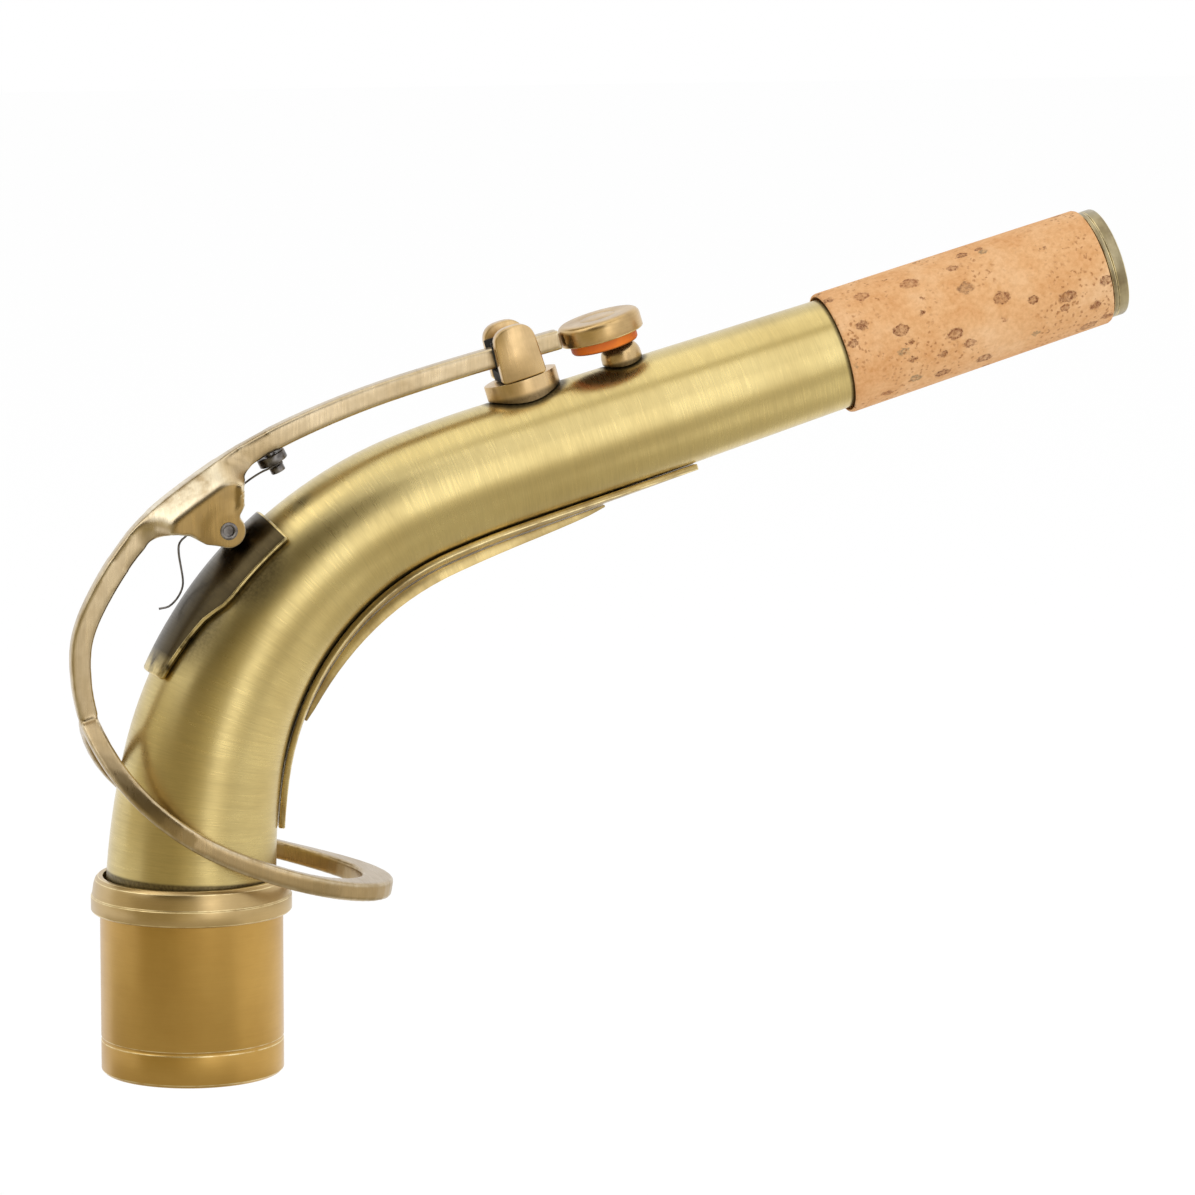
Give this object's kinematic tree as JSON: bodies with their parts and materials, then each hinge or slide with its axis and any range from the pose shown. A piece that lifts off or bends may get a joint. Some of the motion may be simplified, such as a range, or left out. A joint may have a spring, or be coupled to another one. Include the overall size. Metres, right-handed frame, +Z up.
{
  "type": "saxophone neck",
  "caption": "Bent, tapering saxophone neck with tenon, collar, mouthpiece cork, under-brace and a sprung octave key with its ring, fork guide, pad and vent.",
  "frame": {"origin": "centre of the tenon's open lower end", "axes": "+Z up along the tenon's axis, +X from the tenon towards the mouthpiece end; the tube's centreline lies in the plane y = 0"},
  "size_m": [0.1464, 0.0294, 0.1133],
  "materials": {
    "neck_brass": "brushed, aged",
    "tenon_brass": "satin, turned",
    "collar_brass": "satin, turned",
    "tip_brass": "satin, turned",
    "brace_brass": "brushed, aged",
    "saddle_brass": "brushed, darkened",
    "vent_brass": "satin, turned",
    "guide_brass": "satin",
    "cup_brass": "satin, turned",
    "key_brass": "brushed",
    "yoke_brass": "brushed",
    "ring_brass": "brushed",
    "screw_steel": "blued",
    "spring_steel": "blued wire",
    "liner_rubber": "matt",
    "pad_leather": "smooth skin",
    "cork": "sanded sheet cork"
  },
  "bodies": {
    "neck": {"tenon_sleeve": "tenon_brass", "tenon_collar": "collar_brass", "neck_tube": "neck_brass", "tip_ring": "tip_brass", "mouthpiece_cork": "cork", "brace_strip": "brace_brass", "brace_rib": "brace_brass", "key_saddle": "saddle_brass", "hinge_post": "saddle_brass", "octave_vent": "vent_brass", "guide_base": "guide_brass", "guide_prong_near": "guide_brass", "guide_prong_far": "guide_brass", "guide_liner": "liner_rubber"},
    "octave_key": {"lever_yoke": "yoke_brass", "lever_front_arm": "key_brass", "lever_rear_arm": "key_brass", "octave_ring": "ring_brass", "pad_cup": "cup_brass", "octave_pad": "pad_leather", "pivot_screw": "screw_steel", "spring_boss": "screw_steel", "spring_screw": "screw_steel", "key_spring": "spring_steel"}
  },
  "joints": [
    {"name": "octave_key_hinge", "type": "hinge", "parent": "neck", "child": "octave_key", "pos_m": [0.00449, 0, 0.07349], "axis": [0, -1, 0], "range_deg": [0, 2.5], "stiffness_Nm_per_rad": 0.02, "springref_deg": -5.73, "deforming": ["key_spring"]}
  ]
}
